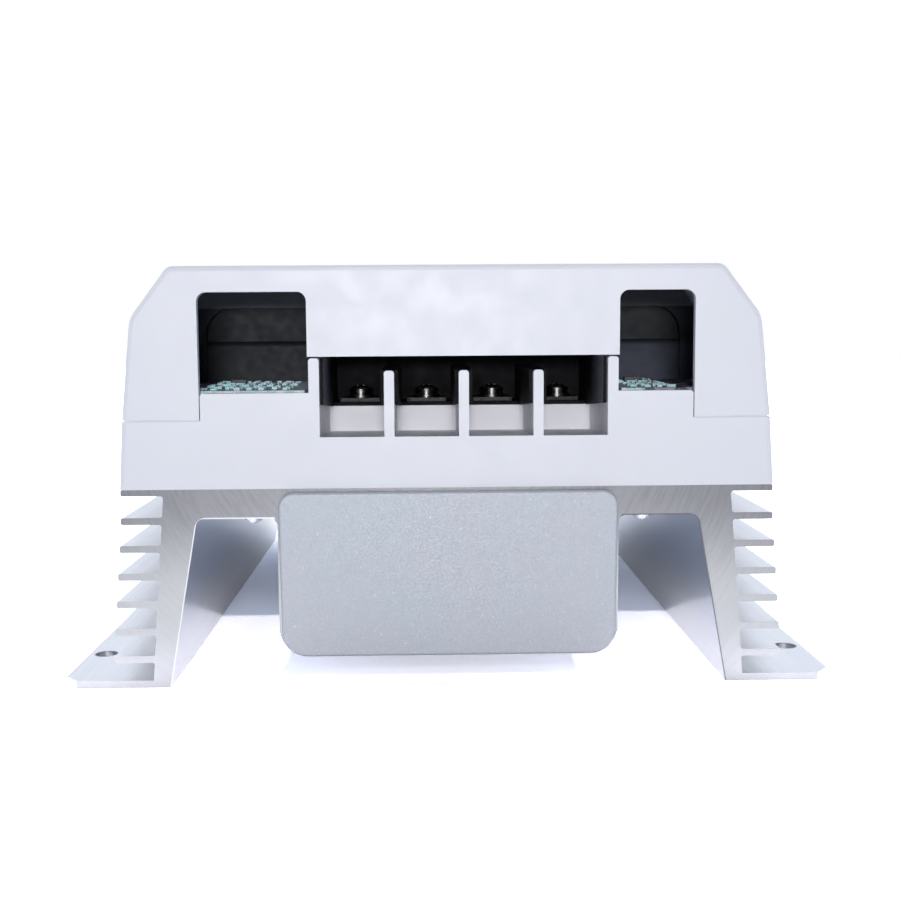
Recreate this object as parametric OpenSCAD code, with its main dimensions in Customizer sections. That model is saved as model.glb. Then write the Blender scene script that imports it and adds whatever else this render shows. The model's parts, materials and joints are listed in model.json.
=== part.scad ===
// Solar charge controller: a finned aluminium heat sink carries a white two-part
// housing, with four screw terminals in open wiring bays at one end.
// X runs across the unit, Y from the wiring end to the far end, Z up from the
// mounting face. The origin is in the middle of the footprint.

/* [Heat sink] */
// Length of the extruded heat sink, and of the housing on it
sink_l = 255; // [250:1:300]
// Height of the deck's top face above the mounting face
deck_z = 60.4; // [57:0.1:70]
// Thickness of the deck
deck_t = 8.9; // [7:0.1:10]
// Width across the two thin edges of the deck
deck_w = 195.2; // [188:0.2:196]
// Thickness of those edges
deck_edge_t = 1.9; // [1.4:0.1:2.6]
// Width over the outer faces of the legs, level with the deck's top
leg_top_w = 169.6; // [166:0.2:174]
// Width over the outer faces of the legs, at the mounting face
leg_foot_w = 179.2; // [176:0.2:184]
// Width of a leg under the deck
leg_root_t = 10.4; // [9:0.1:12]
// Width of a leg at the mounting face
leg_foot_t = 5.4; // [4:0.1:7]
// Radius in the upper corners of the air tunnels
tunnel_r = 2.4; // [1:0.1:4]
// Number of fins on each leg, below the deck's edge
fin_n = 6; // [4:1:7]
// Length of a fin from the leg to its tip
fin_l = 12.3; // [9:0.1:13]
// Thickness of a fin
fin_t = 2.1; // [1.6:0.1:2.8]
// Height of the lowest fin's top face above the mounting face
lowest_fin_z = 9.9; // [8:0.1:12]
// Radius at the root of a fin
fin_root_r = 0.9; // [0.4:0.1:1.4]
// Radius on the edges of a fin's tip
fin_tip_r = 0.5; // [0.2:0.1:0.7]

/* [Mounting flanges] */
// Width over both flanges
flange_w = 234.6; // [228:0.2:244]
// Thickness of a flange
flange_t = 2.3; // [2:0.1:4]
// Width of the cut across each flange corner
corner_cut_x = 4.6; // [2:0.1:6]
// Length of the cut across each flange corner
corner_cut_y = 5.5; // [2:0.1:10]
// Diameter of a mounting hole
mount_hole_d = 6.8; // [4:0.1:7.6]
// Distance of a mounting hole from the flange's long edge
mount_hole_edge = 5.5; // [4.2:0.1:7]
// Distance of a mounting hole from the end of the flange
mount_hole_in = 31; // [15:0.5:60]

/* [Inductor chamber] */
// Outer width of the chamber under the deck
chamber_w = 102.4; // [96:0.2:106]
// Height of the chamber's underside above the mounting face
chamber_z = 10.2; // [9:0.1:11.5]
// Wall of the chamber
chamber_t = 3; // [2:0.1:4]
// Radius of the chamber's lower corners
chamber_r = 7.5; // [5:0.1:9]
// How far the end plates stay inside the chamber's outline
plate_in = 0.6; // [0.2:0.1:1.5]
// Thickness of an end plate
plate_t = 2.6; // [2:0.1:4]
// Radius of an end plate's upper corners
plate_top_r = 4.5; // [2:0.1:6]
// Rounding of an end plate's outer edge
plate_soft = 0.8; // [0.3:0.1:1.2]
// Depth of the spigot that seats an end plate in the chamber
spigot_l = 4; // [2:0.1:6]
// Gap round that spigot
spigot_gap = 0.2; // [0.1:0.05:0.4]

/* [Housing] */
// Width of the housing on the deck
base_w = 196.1; // [196:0.1:200]
// How far each side leans in, from the deck up to the seam between frame and cover
frame_lean = 1.25; // [0.05:0.05:2.05]
// How far each side leans in, from the seam up to the bevel
cover_lean = 3.2; // [1.8:0.1:5.8]
// Width of the bevel beside the cover's flat top
bevel_w = 11.55; // [5.6:0.05:18.6]
// Height of the seam above the deck
seam_h = 20.3; // [19:0.1:24]
// Height of the bevels' start above the deck
shoulder_h = 50.7; // [46:0.1:54]
// Height of the cover's top above the deck
cover_h = 66; // [65:0.1:72]
// Rounding where the bevels start
shoulder_r = 9; // [2:0.5:14]
// Rounding along the edges of the flat top
top_r = 3.5; // [1:0.5:6]
// Wall of the frame and the cover
wall = 2.6; // [2:0.1:3.2]
// Rounding of the housing's end edges
end_r = 1.6; // [0.6:0.1:2.4]
// Height of the shadow line between frame and cover
seam_line = 0.5; // [0.3:0.1:0.8]
// Depth of the shadow line
seam_line_d = 0.9; // [0.5:0.1:1.2]
// Height of the frame's locating rim inside the cover
rim_h = 3; // [1.5:0.5:4]
// Thickness of that rim
rim_t = 1.4; // [1:0.1:2]
// Gap between that rim and the cover
rim_gap = 0.2; // [0.1:0.05:0.4]

/* [Wiring end] */
// Width of the opening that the cover leaves for the raised front of the frame
notch_w = 147.2; // [140:0.2:152]
// Gap between the raised front and the cover's legs
notch_gap = 0.3; // [0.2:0.05:0.5]
// Height of the raised front above the deck
sill_h = 28.5; // [28:0.1:30]
// Height of the windows' top above the deck
window_h = 58.3; // [52:0.1:60]
// Radius of the windows' upper corners
window_r = 2.8; // [1:0.1:5]
// Height of the lip over the bays, above the deck
lip_h = 39.2; // [39:0.1:42]
// Number of wiring bays
bay_n = 4; // [2:1:4]
// Clear width of one bay
bay_w = 19.2; // [18:0.1:20]
// Thickness of the walls between bays
divider_t = 3; // [2:0.1:3.5]
// Thickness of the walls beside the first and last bay
bay_side_t = 3.1; // [2:0.1:4]
// How far the bays' middle lies to the right of the unit's middle
bays_x = 4.85; // [0:0.05:6]
// Depth of a bay
bay_l = 40; // [34:0.5:44]
// Height of a bay's floor above the deck, at its mouth
bay_floor_h = 15.3; // [12:0.1:17]
// How far the floor falls towards the back
bay_fall = 1.5; // [0:0.1:2]
// Height of the sill at the back of a bay, above the deck
back_sill_h = 22; // [20:0.1:23]
// Height of the walls between bays, above the deck
divider_h = 34.9; // [33:0.1:36]
// Height of the walls beside the first and last bay, above the deck
bay_side_h = 38.7; // [37:0.1:39]
// Thickness of the bays' floor and ledge
bay_t = 2.2; // [1.6:0.1:3]
// Thickness of the white nose in front of each lined divider
nose_t = 2.5; // [1.5:0.1:4]

/* [Terminals] */
// Height of the terminal block's seat above the deck
seat_h = 18; // [17:0.1:18.4]
// Height from that seat to the metal bars
bar_h = 5; // [4.8:0.1:5.6]
// Thickness of the terminal bars
bar_t = 1.2; // [0.8:0.1:1.5]
// Width of the terminal bars
bar_w = 13; // [10:0.1:14]
// Width of a bar's tail
tail_w = 8; // [5:0.1:9]
// Distance of the screws behind the wiring end
screw_in = 52.8; // [51.5:0.1:53.5]
// Thickness of the block's rear wall
block_back_t = 2.6; // [2:0.1:3.2]
// Height of the block's rear wall above the deck
block_h = 38.2; // [36:0.1:38.6]
// Thickness of the linings of the bay walls
lining_t = 1; // [0.6:0.1:1.5]
// How much higher the linings' lower edge is at the mouth
lining_rise = 2.8; // [0:0.1:4]
// Gap between the linings and the dividers
lining_gap = 0.1; // [0.05:0.05:0.2]
// Thread diameter of the terminal screws
screw_d = 4; // [3:0.5:4.5]
// Head diameter of the terminal screws
screw_head_d = 7.8; // [7:0.1:9]
// Head height of the terminal screws
screw_head_h = 2.4; // [1.8:0.1:3]
// Outer diameter of the flat washers
washer_d = 9; // [8:0.1:12]
// Thickness of the flat washers
washer_t = 0.8; // [0.5:0.1:1.2]
// Outer diameter of the spring washers
spring_d = 7.4; // [6.6:0.1:8]
// Thickness of the spring washers
spring_t = 1.1; // [0.8:0.1:1.4]

/* [Inner wall] */
// Distance of the inner wall behind the wiring end
inner_wall_in = 62.6; // [62.6:0.1:66]
// Thickness of the inner wall
inner_wall_t = 1.5; // [1:0.1:2.5]
// Distance of its arched recess from the housing's walls, level with the bevels' start
arch_side = 8.7; // [7:0.1:16]
// Height of the recess's top above the deck
arch_h = 54.6; // [48:0.1:56]
// Radius of the recess's upper corners
arch_r = 9.2; // [4:0.1:14]
// Depth of the recess
arch_d = 4; // [3:0.1:5]
// Height of the step in the recess above the deck
step_h = 43.1; // [41:0.1:46]
// How far the recess's lower part stands forward
step_d = 2; // [1:0.1:2.5]

/* [Circuit board] */
// Length of the posts between deck and board
post_h = 27.5; // [27:0.1:28.4]
// Width of a post across its flats
post_af = 5.5; // [5:0.1:6]
// Thickness of the board
board_t = 1.6; // [1.2:0.1:2.4]
// Gap between the board and the housing's side walls
board_side_gap = 4.95; // [4.5:0.05:7.5]
// Gap between the board and the housing's end walls
board_gap = 1.4; // [0.8:0.1:3]
// Gap between the board and the bays
board_bay_gap = 1.6; // [0.8:0.1:3]

/* [Power parts] */
// Number of inductors
inductor_n = 3; // [2:1:3]
// Gap between two inductors
inductor_gap = 6; // [2:0.5:14]
// Width of the ring of an inductor's core
core_ring_t = 11; // [9:0.25:13]
// Height of an inductor's core
core_h = 23; // [18:0.5:25]
// Thickness of the winding on the core
winding_t = 6; // [4:0.1:6.5]
// Diameter of an inductor's leads
lead_d = 2.6; // [1.6:0.1:3]
// Number of transistors on each side
transistor_n = 3; // [2:1:4]
// Distance between transistors
transistor_pitch = 34; // [22:1:36]
// Length of a transistor's body, across the unit
transistor_l = 21; // [18:0.5:22]
// Width of a transistor's body
transistor_w = 16; // [14:0.5:18]
// Thickness of a transistor's body
transistor_t = 5; // [4:0.1:5.5]
// Thickness of the pads under the transistors
pad_t = 0.5; // [0.3:0.1:1]
// Number of capacitors in each of two rows
capacitor_n = 3; // [2:1:4]
// Distance between capacitors
capacitor_pitch = 26; // [20:1:30]
// Diameter of a capacitor
capacitor_d = 18; // [14:0.5:19]
// Height of a capacitor
capacitor_h = 27; // [18:0.5:27.5]

/* [Small screws] */
// Thread diameter of the small screws
small_d = 3; // [2.5:0.1:3.2]
// Head diameter of the small screws
small_head_d = 5.6; // [5:0.1:6]
// Head height of the small screws
small_head_h = 2.1; // [1.6:0.1:2.6]
// Clearance hole for the small screws
small_hole_d = 3.4; // [3.3:0.1:3.8]
// Distance of the frame screws from the chamber's side
frame_screw_out = 7.8; // [5:0.1:10]
// Distance of the frame screws from the ends
frame_screw_in = 5.4; // [5:0.1:8]
// Length of the frame screws
frame_screw_l = 16; // [13:0.5:17]
// Distance of the cover screws from the legs' inner faces
cover_screw_gap = 7.6; // [6:0.1:12]
// Length of the cover screws
cover_screw_l = 37; // [34:0.5:40]
// Outer diameter of the screw bosses
boss_d = 7.6; // [6.4:0.1:8.4]

/* [Indicators] */
// Number of light pipes in the cover's top
light_n = 3; // [1:1:5]
// Distance between light pipes
light_pitch = 12; // [8:0.5:16]
// Diameter of a light pipe
light_d = 3; // [2:0.1:5]

/* [Hidden] */
$fn = 64;
// Overlap that joins solids of one piece
bite = 0.4;
// Margin by which cuts run past a face
past = 2;
// Larger than the whole unit
huge = 600;

front = -sink_l / 2;
back = sink_l / 2;
roof_z = deck_z - deck_t;
fin_pitch = (deck_z - lowest_fin_z) / fin_n;
seam_z = deck_z + seam_h;
top_z = deck_z + cover_h;
ceiling_z = top_z - wall;
sill_z = deck_z + sill_h;
lip_z = deck_z + lip_h;
bay_floor_z = deck_z + bay_floor_h;
bay_under_z = bay_floor_z - bay_fall - bay_t;
back_sill_z = deck_z + back_sill_h;
divider_z = deck_z + divider_h;
seat_z = deck_z + seat_h;
bar_z = seat_z + bar_h;
board_z = deck_z + post_h;
board_top = board_z + board_t;

// The bays, from the left side wall's outer face to the right one's
bay_pitch = bay_w + divider_t;
bays_w = bay_n * bay_pitch - divider_t;
bays_l = bays_x - bays_w / 2 - bay_side_t;
bays_r = bays_x + bays_w / 2 + bay_side_t;
function bay_x(i) = bays_x + (i - (bay_n - 1) / 2) * bay_pitch;
function divider_x(i) = bay_x(i) + bay_pitch / 2;
block_end = inner_wall_in;
tail_gap = 0.5;
tail_y = front + block_end + arch_d + inner_wall_t + tail_gap;

function leg_out(z) = (leg_foot_w + (leg_top_w - leg_foot_w) * z / deck_z) / 2;
tunnel_top_w = 2 * (leg_out(roof_z) - leg_root_t);
tunnel_foot_w = leg_foot_w - 2 * leg_foot_t;

// Places of what repeats
mount_span_x = flange_w - 2 * mount_hole_edge;
mount_holes = [for (x = [-1, 1], y = [front + mount_hole_in, back - mount_hole_in])
    [x * mount_span_x / 2, y]];
frame_screw_x = chamber_w / 2 + frame_screw_out;
frame_screw_y = sink_l / 2 - frame_screw_in;
frame_screws_at = [for (x = [-1, 1], y = [-1, 1]) [x * frame_screw_x, y * frame_screw_y]];
cover_screw_x = tunnel_top_w / 2 - cover_screw_gap;
front_pillar_gap = 4;
front_pillar_y = front + inner_wall_in + arch_d + 2 * inner_wall_t + boss_d / 2 + front_pillar_gap;
rear_pillar_in = 20;
rear_pillar_y = back - rear_pillar_in;
cover_screws_at = [for (x = [-1, 1], y = [front_pillar_y, rear_pillar_y]) [x * cover_screw_x, y]];
board_w = base_w - 2 * (wall + board_side_gap);
post_in = 9.7;
post_x = board_w / 2 - post_in;
post_rows = 4;
first_post_y = front + 20;
last_post_y = back - 12;
posts_at = [for (x = [-1, 1], i = [0 : post_rows - 1])
    [x * post_x, first_post_y + i * (last_post_y - first_post_y) / (post_rows - 1)]];
power_y = (front_pillar_y + rear_pillar_y) / 2;
transistor_x = 65.5;
transistor_hole_in = 4;
transistor_hole_x = transistor_x + transistor_l / 2 - transistor_hole_in;
leg_reach = 4;
transistor_leg_x = transistor_x - transistor_l / 2 - leg_reach;
leg_pitch = 5.4;
leg_w = 1.2;
leg_t = 0.6;
leg_hole_d = 2;
// How far leads and tails stand out above the board
lead_end = 1.5;
function transistor_y(i) = power_y + (i - (transistor_n - 1) / 2) * transistor_pitch;
transistor_holes = [for (s = [-1, 1], i = [0 : transistor_n - 1])
    [s * transistor_hole_x, transistor_y(i)]];
capacitor_row_x = 30;
capacitors_at = [for (s = [-1, 1], i = [0 : capacitor_n - 1])
    [s * capacitor_row_x, power_y + (i - (capacitor_n - 1) / 2) * capacitor_pitch]];
// The first inductor's leads rise close behind the inner wall, clear of the terminal block
first_inductor_in = 12.9;
first_inductor_y = front + inner_wall_in + first_inductor_in;
// The rest of the chamber's length is shared by a row of up to three inductors
inductor_most = 3;
inductor_end_gap = 3.5;
row_end_y = back - spigot_l - inductor_end_gap;
inductor_d = (row_end_y - first_inductor_y - (inductor_most - 1) * inductor_gap) / (inductor_most - 0.5);
core_d = inductor_d - 2 * winding_t;
core_hole_d = core_d - 2 * core_ring_t;
last_inductor_y = row_end_y - inductor_d / 2;
inductors_y = [for (i = [0 : inductor_n - 1])
    first_inductor_y + i * (last_inductor_y - first_inductor_y) / (inductor_n - 1)];
wire_hole_d = 16;
lead_gap = 9;
light_in = 12;
light_y = front_pillar_y + light_in;
lights_at = [for (i = [0 : light_n - 1]) [(i - (light_n - 1) / 2) * light_pitch, light_y]];

// Outline tools

function unit(v) = v / norm(v);
function left_of(v) = unit([-v[1], v[0]]);

// The corner b of an outline a, b, c moved inwards by d from both its edges
function inset_corner(a, b, c, d) =
    let (n = left_of(b - a), m = left_of(c - b)) b + d * (n + m) / (1 + n * m);

// The corner b of an outline a, b, c as an arc of radius r
arc_steps = 5;
function rounded_corner(a, b, c, r) =
    r < 0.05 ? [b] :
    let (u = unit(a - b), v = unit(c - b), half = acos(u * v) / 2,
         centre = b + unit(u + v) * r / sin(half),
         start = b + u * r / tan(half) - centre,
         from = atan2(start[1], start[0]), sweep = 180 - 2 * half)
    [for (i = [0 : arc_steps])
        centre + r * [cos(from + sweep * i / arc_steps), sin(from + sweep * i / arc_steps)]];

// The housing's section, wall thicknesses being insets of its outer corners
seam_w = base_w - 2 * frame_lean;
shoulder_w = seam_w - 2 * cover_lean;
top_w = shoulder_w - 2 * bevel_w;
arch_w = shoulder_w - 2 * (wall + arch_side);
side_lean = frame_lean / seam_h;
below_deck = wall + rim_gap + rim_t + past;
housing_half = [
    [base_w / 2 + below_deck * side_lean, deck_z - below_deck],
    [seam_w / 2, seam_z],
    [shoulder_w / 2, deck_z + shoulder_h],
    [top_w / 2, top_z]];
housing_corners = concat(housing_half, [for (i = [3 : -1 : 0]) [-housing_half[i][0], housing_half[i][1]]]);
housing_radii = [0, 0, shoulder_r, top_r, top_r, shoulder_r, 0, 0];
function corner_at(i) = housing_corners[(i + 8) % 8];
function housing_outline(d) =
    let (moved = [for (i = [0 : 7]) inset_corner(corner_at(i - 1), corner_at(i), corner_at(i + 1), d)])
    [for (i = [0 : 7])
        each rounded_corner(moved[(i + 7) % 8], moved[i], moved[(i + 1) % 8], housing_radii[i] - d)];

// A section in X and Z, drawn out along Y about the unit's middle
module along_y(l) rotate([90, 0, 0]) linear_extrude(l, center = true) children();

// A section in X and Z, drawn out from y0 to y1
module from_to(y0, y1) translate([0, (y0 + y1) / 2, 0]) along_y(y1 - y0) children();

// A box between two corners
module block(low, high) translate(low) cube(high - low);

module slab(z0, z1) block([-huge / 2, -huge / 2, z0], [huge / 2, huge / 2, z1]);

// A rectangle with its foot on the X axis and its lower corners rounded
module tub(w, h, r) {
    translate([-w / 2, r]) square([w, h - r]);
    translate([-w / 2 + r, 0]) square([w - 2 * r, h]);
    for (x = [-1, 1]) translate([x * (w / 2 - r), r]) circle(r);
}

// The same with its upper corners rounded
module arch(w, h, r) translate([0, h]) mirror([0, 1]) tub(w, h, r);

// A bar that runs from x0 to x1 below z, with a soft tip
module soft_bar(x0, x1, z, t, r) {
    translate([x0, z - t]) square([x1 - r - x0, t]);
    translate([x0, z - t + r]) square([x1 - x0, t - 2 * r]);
    for (h = [z - r, z - t + r]) translate([x1 - r, h]) circle(r);
}

// How far a fillet is sunk into its corner, so that it meets both sides at an angle
fillet_sink = 0.03;

// Fills the corner between a roof along the X axis and a wall that starts at the
// origin, with its solid to the right, and moves right by lean for each unit down
module corner_fill(r, lean) translate([fillet_sink, fillet_sink]) {
    slope = sqrt(1 + lean * lean);
    centre = r * (lean - slope);
    foot = [centre + r / slope, -r + lean * r / slope];
    difference() {
        polygon([[centre, -r], foot, foot + [bite, 0], [bite, bite], [centre, bite]]);
        translate([centre, -r]) circle(r);
    }
}

// Heat sink

function leg_in(z) = (tunnel_foot_w + (tunnel_top_w - tunnel_foot_w) * z / roof_z) / 2;
leg_out_lean = (leg_foot_w - leg_top_w) / 2 / deck_z;
leg_in_lean = (tunnel_foot_w - tunnel_top_w) / 2 / roof_z;

module fin(z) {
    root = leg_out(z);
    soft_bar(root - past, root + fin_l, z, fin_t, fin_tip_r);
    translate([leg_out(z - fin_t), z - fin_t]) mirror([1, 0]) corner_fill(fin_root_r, -leg_out_lean);
    translate([root, z]) rotate(180) corner_fill(fin_root_r, leg_out_lean);
}

module leg_section() {
    polygon([[leg_in(0), 0], [leg_out(0), 0], [leg_out(deck_z), deck_z],
             [leg_in(roof_z) - bite, deck_z], [leg_in(roof_z) - bite, roof_z], [leg_in(roof_z), roof_z]]);
    soft_bar(leg_out(deck_z) - past, deck_w / 2, deck_z, deck_edge_t, fin_tip_r);
    translate([leg_out(deck_z - deck_edge_t), deck_z - deck_edge_t])
        mirror([1, 0]) corner_fill(fin_root_r, -leg_out_lean);
    for (k = [1 : fin_n]) fin(deck_z - k * fin_pitch);
    foot_middle = (leg_in(0) + leg_out(0)) / 2;
    translate([foot_middle, 0]) square([flange_w / 2 - foot_middle, flange_t]);
    translate([leg_in(roof_z), roof_z]) corner_fill(tunnel_r, leg_in_lean);
    translate([chamber_w / 2, roof_z]) mirror([1, 0]) corner_fill(tunnel_r, 0);
}

module sink_section() difference() {
    union() {
        leg_section();
        mirror([1, 0]) leg_section();
        translate([-leg_in(roof_z), roof_z]) square([2 * leg_in(roof_z), deck_t]);
        translate([0, chamber_z]) tub(chamber_w, roof_z - chamber_z + bite, chamber_r);
    }
    translate([0, chamber_z + chamber_t])
        tub(chamber_w - 2 * chamber_t, roof_z - chamber_z - chamber_t, chamber_r - chamber_t);
}

module flange_corner_cut() linear_extrude(flange_t * 3, center = true) polygon([
    [-corner_cut_x, -past], [past, -past], [past, corner_cut_y], [0, corner_cut_y], [-corner_cut_x, 0]]);

thread_l = 6;
// How much deeper a blind hole is than its screw
hole_clear = 0.5;

module heat_sink() color("silver") difference() {
    along_y(sink_l) sink_section();
    for (x = [0, 1], y = [0, 1]) mirror([x, 0, 0]) mirror([0, y, 0])
        translate([flange_w / 2, front, 0]) flange_corner_cut();
    for (p = mount_holes) translate([p[0], p[1], -past]) cylinder(d = mount_hole_d, h = flange_t + 2 * past);
    for (p = concat(frame_screws_at, cover_screws_at))
        translate([p[0], p[1], roof_z - past]) cylinder(d = small_hole_d, h = deck_t + 2 * past);
    for (p = concat(posts_at, transistor_holes))
        translate([p[0], p[1], deck_z - thread_l - hole_clear])
            cylinder(d = small_d, h = thread_l + hole_clear + past);
    for (y = inductors_y) translate([0, y, roof_z - past]) cylinder(d = wire_hole_d, h = deck_t + 2 * past);
}

// Chamber end plates

plate_w = chamber_w - 2 * plate_in;
plate_top_z = deck_z - 1;
// The plate reaches a little below the chamber and is a little narrower there
plate_drop = 0.5;
plate_taper = 0.4;

// A flat puck with a soft outer rim, its face towards -Y
module soft_puck(r) rotate([90, 0, 0]) rotate_extrude($fn = 40) {
    square([r - plate_soft, plate_t]);
    square([r, plate_t - plate_soft]);
    intersection() {
        square([r, plate_t]);
        translate([r - plate_soft, plate_t - plate_soft]) circle(plate_soft, $fn = 24);
    }
}

module chamber_cover() {
    hull() for (s = [-1, 1]) {
        translate([s * (plate_w / 2 - plate_top_r), 0, plate_top_z - plate_top_r])
            soft_puck(plate_top_r);
        translate([s * (plate_w / 2 - plate_taper - chamber_r), 0, chamber_z - plate_drop + chamber_r])
            soft_puck(chamber_r);
    }
    inner_w = chamber_w - 2 * (chamber_t + spigot_gap);
    inner_h = roof_z - chamber_z - chamber_t - 2 * spigot_gap;
    from_to(-bite, spigot_l) translate([0, chamber_z + chamber_t + spigot_gap])
        tub(inner_w, inner_h, chamber_r - chamber_t);
}

module front_chamber_cover() color("gainsboro") translate([0, front, 0]) chamber_cover();
module rear_chamber_cover() color("gainsboro") translate([0, back, 0]) mirror([0, 1, 0]) chamber_cover();

// Housing

end_steps = 3;
module housing_solid() hull() for (i = [0 : end_steps]) {
    a = 90 * i / end_steps;
    along_y(sink_l - 2 * end_r * (1 - sin(a))) polygon(housing_outline(end_r * (1 - cos(a))));
}

module housing_void(d) along_y(sink_l - 2 * d) polygon(housing_outline(d));

window_gap = 0.3;

// The part of the cover's front that is left open, as a section in X and Z
module front_notch() {
    low = seam_z - past;
    for (side = [[-notch_w / 2, bays_l - window_gap], [bays_r + window_gap, notch_w / 2]])
        translate([(side[0] + side[1]) / 2, low])
            arch(side[1] - side[0], deck_z + window_h - low, window_r);
    translate([bays_l - past, low]) square([bays_r - bays_l + 2 * past, lip_z - low]);
}

module cover_shell() difference() {
    intersection() {
        housing_solid();
        slab(seam_z, top_z + past);
    }
    housing_void(wall);
    from_to(front - past, front + wall + past) front_notch();
    difference() {
        slab(seam_z - past, seam_z + seam_line);
        housing_void(seam_line_d);
    }
    for (p = lights_at) translate([p[0], p[1], ceiling_z - past])
        cylinder(d = light_d, h = wall + 2 * past);
}

rib_n = 3;
rib_t = 1.6;
rib_h = 4.5;

// Ribs under the cover's top, evenly between the light pipes and the rear pillars
module cover_ribs() for (i = [1 : rib_n]) intersection() {
    y = light_y + i * (rear_pillar_y - light_y) / (rib_n + 1);
    from_to(y - rib_t / 2, y + rib_t / 2) polygon(housing_outline(wall - bite));
    slab(ceiling_z - rib_h, top_z - bite);
}

module top_cover() color("ghostwhite") {
    cover_shell();
    cover_ribs();
    for (p = cover_screws_at) translate([p[0], p[1], seam_z]) difference() {
        cylinder(d = boss_d, h = ceiling_z - seam_z + bite);
        translate([0, 0, -past])
            cylinder(d = small_d, h = roof_z + cover_screw_l - seam_z + past + hole_clear);
    }
}

module frame_ring() {
    difference() {
        intersection() {
            housing_solid();
            slab(deck_z, seam_z);
        }
        housing_void(wall);
    }
    difference() {
        union() {
            intersection() {
                housing_void(wall + rim_gap);
                slab(seam_z - rim_h, seam_z + rim_h);
            }
            intersection() {
                housing_void(wall - bite);
                slab(seam_z - rim_h, seam_z - rim_h / 2);
            }
        }
        housing_void(wall + rim_gap + rim_t);
        block([-huge / 2, front, 0], [huge / 2, front + wall + past + rim_t, top_z]);
    }
}

sill_r = 1;

// The front of the frame rises between the cover's legs
module raised_front() {
    low = seam_z - seam_h / 2;
    from_to(front, front + wall) translate([0, low])
        arch(notch_w - 2 * notch_gap, sill_z - low, sill_r);
}

module bay_mouths() for (i = [0 : bay_n - 1])
    block([bay_x(i) - bay_w / 2, front - past, bay_floor_z],
          [bay_x(i) + bay_w / 2, front + wall + past, sill_z + past]);

upright_r = 0.9;

// A soft-topped wall of the bays, as a section in X and Z
module upright(x, t, z0, z1) translate([x, z0]) arch(t, z1 - z0, upright_r);

module bay_walls() {
    low = bay_under_z;
    for (x = [bays_l + bay_side_t / 2, bays_r - bay_side_t / 2])
        from_to(front, front + bay_l + bay_t) upright(x, bay_side_t, low, deck_z + bay_side_h);
    for (i = [0 : bay_n - 2]) {
        from_to(front, front + nose_t) upright(divider_x(i), divider_t, low, divider_z);
        block([divider_x(i) - divider_t / 2, front + nose_t - bite, low],
              [divider_x(i) + divider_t / 2, front + bay_l + bay_t, divider_z - lining_t - lining_gap]);
    }
}

// Draws a section in Y and Z, Y counted from the wiring end, from x0 to x1
module across(x0, x1) translate([x0, front, 0]) rotate([90, 0, 90]) linear_extrude(x1 - x0) children();

// Floor, back sill and ledge of the bays
module bay_floor() across(bays_l, bays_r) polygon([
    [0, bay_under_z], [bay_l + bay_t, bay_under_z], [bay_l + bay_t, seat_z - bay_t],
    [block_end, seat_z - bay_t], [block_end, seat_z], [bay_l + bay_t, seat_z],
    [bay_l + bay_t, back_sill_z], [bay_l, back_sill_z], [bay_l, bay_floor_z - bay_fall],
    [0, bay_floor_z]]);

// Ribs that carry floor and ledge on the deck
module bay_ribs() {
    dividers = [for (i = [0 : bay_n - 2]) divider_x(i) - bay_t / 2];
    for (x = concat([bays_l, bays_r - bay_t], dividers)) across(x, x + bay_t) polygon([
        [wall - bite, deck_z], [block_end, deck_z], [block_end, seat_z - bay_t + bite],
        [bay_l + bite, seat_z - bay_t + bite], [bay_l + bite, bay_under_z + bite],
        [wall - bite, bay_under_z + bite]]);
}

boss_end_t = 2;

module frame_bosses() {
    hole_h = frame_screw_l - deck_t + hole_clear;
    for (p = frame_screws_at) translate([p[0], p[1], deck_z]) difference() {
        cylinder(d = boss_d, h = hole_h + boss_end_t);
        translate([0, 0, -past]) cylinder(d = small_d, h = hole_h + past);
    }
    for (p = cover_screws_at) translate([p[0], p[1], deck_z]) difference() {
        cylinder(d = boss_d, h = seam_h);
        translate([0, 0, -past]) cylinder(d = small_hole_d, h = seam_h + 2 * past);
    }
}

web_h = 9;
web_t = 1.8;

// Webs that tie the cover screws' pillars to the frame's walls
module boss_webs() for (s = [0, 1], y = [front_pillar_y, rear_pillar_y]) mirror([s, 0, 0])
    block([cover_screw_x + boss_d / 2 - bite, y - web_t / 2, deck_z],
          [base_w / 2 - wall + bite, y + web_t / 2, deck_z + web_h]);

module lower_frame() color("white") {
    difference() {
        union() {
            frame_ring();
            raised_front();
        }
        bay_mouths();
    }
    bay_walls();
    bay_floor();
    bay_ribs();
    frame_bosses();
    boss_webs();
}

// Terminals

block_x0 = bays_l + bay_side_t + lining_gap;
block_x1 = bays_r - bay_side_t - lining_gap;
side_lining_z = deck_z + bay_side_h - lining_gap;
screw_clear = 0.4;
nut_h = 3.2;
nut_af = 7;
nut_gap = 0.2;
pocket_h = nut_h + nut_gap;
slot_gap = 0.1;
function across_flats(af) = af / cos(30);

// Side view of a lining that hangs from height z and covers the upper part of a bay's wall
module lining_section(z) polygon([
    [nose_t + lining_gap, back_sill_z + lining_rise], [bay_l, back_sill_z],
    [bay_l + bay_t + lining_gap + bite, back_sill_z], [bay_l + bay_t + lining_gap + bite, z],
    [nose_t + lining_gap, z]]);

// A divider of the block, which runs on as a cap over the frame's own divider
module block_divider(x) {
    half = divider_t / 2 + lining_gap;
    behind = front + bay_l + bay_t + lining_gap;
    across(x - half - lining_t, x - half) lining_section(divider_z);
    across(x + half, x + half + lining_t) lining_section(divider_z);
    block([x - half - bite, front + nose_t + lining_gap, divider_z - lining_t],
          [x + half + bite, behind + bite, divider_z]);
    block([x - half - lining_t, behind, seat_z], [x + half + lining_t, front + block_end, divider_z]);
}

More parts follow.
